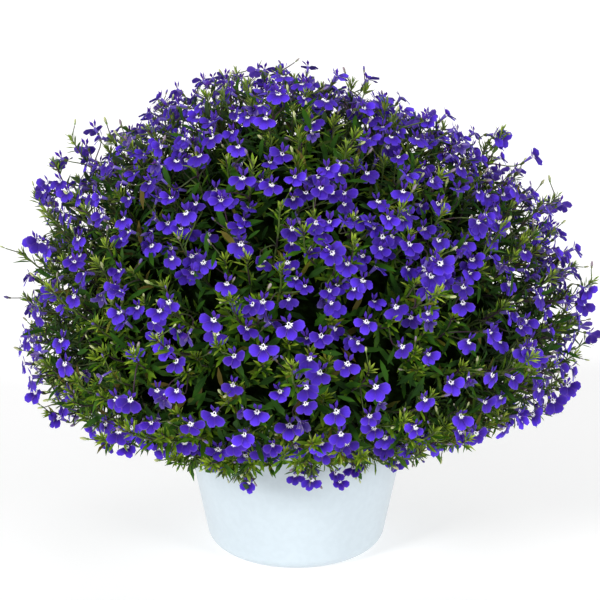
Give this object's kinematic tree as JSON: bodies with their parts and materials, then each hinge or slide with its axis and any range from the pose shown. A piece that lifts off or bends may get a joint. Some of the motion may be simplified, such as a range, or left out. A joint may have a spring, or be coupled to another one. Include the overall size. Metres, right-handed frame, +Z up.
{
  "type": "potted trailing lobelia",
  "caption": "Round cushion-shaped trailing lobelia in full flower, rooted in potting soil in a plain tapered pot with a rounded foot and drain holes.",
  "frame": {"origin": "middle of the pot's flat base", "axes": "+Z up along the pot's axis, -Y towards the viewer of the plant's front, +X to that viewer's right"},
  "size_m": [0.3504, 0.3361, 0.2966],
  "materials": {
    "pot_plastic": "smooth moulded polypropylene, white with a faint cool tint",
    "potting_soil": "moist crumbly peat and bark",
    "foliage": "narrow toothed green leaves and thin stems with a soft sheen",
    "petals": "velvety blue-violet petals with a white eye"
  },
  "bodies": {
    "root": {"pot": "pot_plastic", "soil": "potting_soil", "spray_01": "foliage", "spray_02": "foliage", "spray_03": "foliage", "spray_04": "foliage", "spray_05": "foliage", "spray_06": "foliage", "spray_07": "foliage", "spray_08": "foliage", "spray_09": "foliage", "spray_10": "foliage", "spray_11": "foliage", "spray_12": "foliage", "spray_13": "foliage", "spray_14": "foliage", "spray_15": "foliage", "spray_16": "foliage", "spray_17": "foliage", "spray_18": "foliage", "spray_19": "foliage", "spray_20": "foliage", "spray_21": "foliage", "spray_22": "foliage", "spray_23": "foliage", "spray_24": "foliage", "spray_25": "foliage", "spray_26": "foliage", "spray_27": "foliage"}
  },
  "joints": []
}
